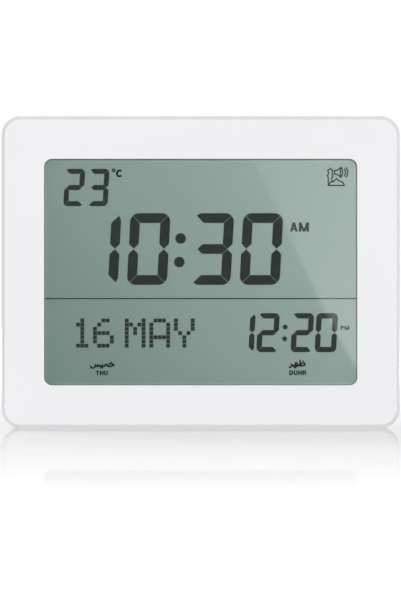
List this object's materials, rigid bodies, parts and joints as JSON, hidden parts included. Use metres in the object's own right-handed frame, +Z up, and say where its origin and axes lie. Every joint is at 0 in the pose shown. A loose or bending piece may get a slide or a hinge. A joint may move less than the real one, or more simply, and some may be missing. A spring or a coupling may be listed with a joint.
{
  "type": "azan clock",
  "caption": "Rectangular table and wall clock with a white frame, a large segment display for time, date, temperature and prayer time, a fold-out leg and keys at the back.",
  "frame": {"origin": "middle of the flat foot that the clock stands on, half way between face and back", "axes": "+X to the right seen from the front, -Y out of the display, +Z up"},
  "size_m": [0.23, 0.03, 0.18],
  "materials": {
    "case_white": "satin, faintly warm white",
    "window_clear": "polished clear acrylic",
    "tape_grey": "dull grey-green adhesive tape",
    "film_clear": "clear film",
    "display_glass": "clear, slightly green",
    "display_mirror": "dull grey-green reflector film",
    "foam_black": "matt foam",
    "display_ink": "near-black liquid crystal",
    "guide_clear": "frosted clear acrylic",
    "strip_white": "white solder mask",
    "led_body": "white case with yellow phosphor",
    "holder_grey": "unpainted moulding",
    "board_green": "green solder mask",
    "strip_rubber": "layered silicone connector strip",
    "epoxy_black": "matt epoxy",
    "metal_bright": "nickel plated",
    "screw_steel": "zinc plated",
    "capacitor_sleeve": "shrunk sleeve",
    "connector_white": "nylon",
    "key_grey": "satin moulding",
    "switch_black": "moulded",
    "speaker_steel": "pressed sheet",
    "speaker_paper": "matt paper pulp",
    "magnet_black": "ferrite",
    "terminal_brown": "phenolic paper",
    "cell_sleeve": "printed sleeve with bare ends",
    "rubber_grey": "matt",
    "wire_red": "insulated flexible wire",
    "wire_black": "insulated flexible wire",
    "cable_grey": "flat ribbon cable"
  },
  "bodies": {
    "case": {"front_frame": "case_white", "rear_cover": "case_white", "lens_window": "window_clear", "lens_tape": "tape_grey", "lcd_front_polariser": "film_clear", "lcd_front_glass": "display_glass", "lcd_rear_glass": "display_glass", "lcd_reflector": "display_mirror", "display_gasket": "foam_black", "time_digits": "display_ink", "prayer_time_digits": "display_ink", "temperature_digits": "display_ink", "date_dots": "display_ink", "divider_line": "display_ink", "backlight_led_strip": "strip_white", "backlight_leds": "led_body", "light_guide": "guide_clear", "lcd_holder": "holder_grey", "main_board": "board_green", "zebra_strip": "strip_rubber", "controller_blob": "epoxy_black", "sound_chip": "epoxy_black", "chip_legs": "metal_bright", "quartz_crystal": "metal_bright", "capacitors": "capacitor_sleeve", "board_connectors": "connector_white", "temperature_sensor": "epoxy_black", "tact_switches": "switch_black", "key_board": "board_green", "slide_switch": "switch_black", "speaker_gasket": "foam_black", "speaker_basket": "speaker_steel", "speaker_cone": "speaker_paper", "speaker_magnet": "magnet_black", "speaker_terminals": "terminal_brown", "speaker_clamps": "metal_bright", "battery_upper": "cell_sleeve", "battery_lower": "cell_sleeve", "battery_springs": "metal_bright", "battery_contacts": "metal_bright", "case_screws": "screw_steel", "holder_screws": "screw_steel", "board_screws": "screw_steel", "key_board_screws": "screw_steel", "speaker_screws": "screw_steel", "battery_wires": "wire_red", "speaker_wires": "wire_black", "key_cable": "cable_grey"},
    "leg": {"stand_leg": "case_white", "leg_pad": "rubber_grey"},
    "door": {"battery_door": "case_white"},
    "volume_knob": {"slide_knob": "switch_black"},
    "mode_key": {"mode_key": "key_grey"},
    "set_key": {"set_key": "key_grey"},
    "city_key": {"city_key": "key_grey"},
    "up_key": {"up_key": "key_grey"},
    "down_key": {"down_key": "key_grey"},
    "light_key": {"light_key": "key_grey"}
  },
  "joints": [
    {"name": "stand_leg_swing", "type": "hinge", "parent": "case", "child": "leg", "pos_m": [0, 0.0131, 0.078], "axis": [1, 0, 0], "range_deg": [0, 30]},
    {"name": "battery_door_swing", "type": "hinge", "parent": "case", "child": "door", "pos_m": [0.066, 0.015, 0.10195], "axis": [-1, 0, 0], "range_deg": [0, 80]},
    {"name": "volume_slide", "type": "slide", "parent": "case", "child": "volume_knob", "axis": [1, 0, 0], "range_m": [0, 0.003]},
    {"name": "mode_key_press", "type": "slide", "parent": "case", "child": "mode_key", "axis": [0, -1, 0], "range_m": [0, 0.0005], "stiffness_N_per_m": 400},
    {"name": "set_key_press", "type": "slide", "parent": "case", "child": "set_key", "axis": [0, -1, 0], "range_m": [0, 0.0005], "stiffness_N_per_m": 400},
    {"name": "city_key_press", "type": "slide", "parent": "case", "child": "city_key", "axis": [0, -1, 0], "range_m": [0, 0.0005], "stiffness_N_per_m": 400},
    {"name": "up_key_press", "type": "slide", "parent": "case", "child": "up_key", "axis": [0, -1, 0], "range_m": [0, 0.0005], "stiffness_N_per_m": 400},
    {"name": "down_key_press", "type": "slide", "parent": "case", "child": "down_key", "axis": [0, -1, 0], "range_m": [0, 0.0005], "stiffness_N_per_m": 400},
    {"name": "light_key_press", "type": "slide", "parent": "case", "child": "light_key", "axis": [0, -1, 0], "range_m": [0, 0.0005], "stiffness_N_per_m": 400}
  ]
}
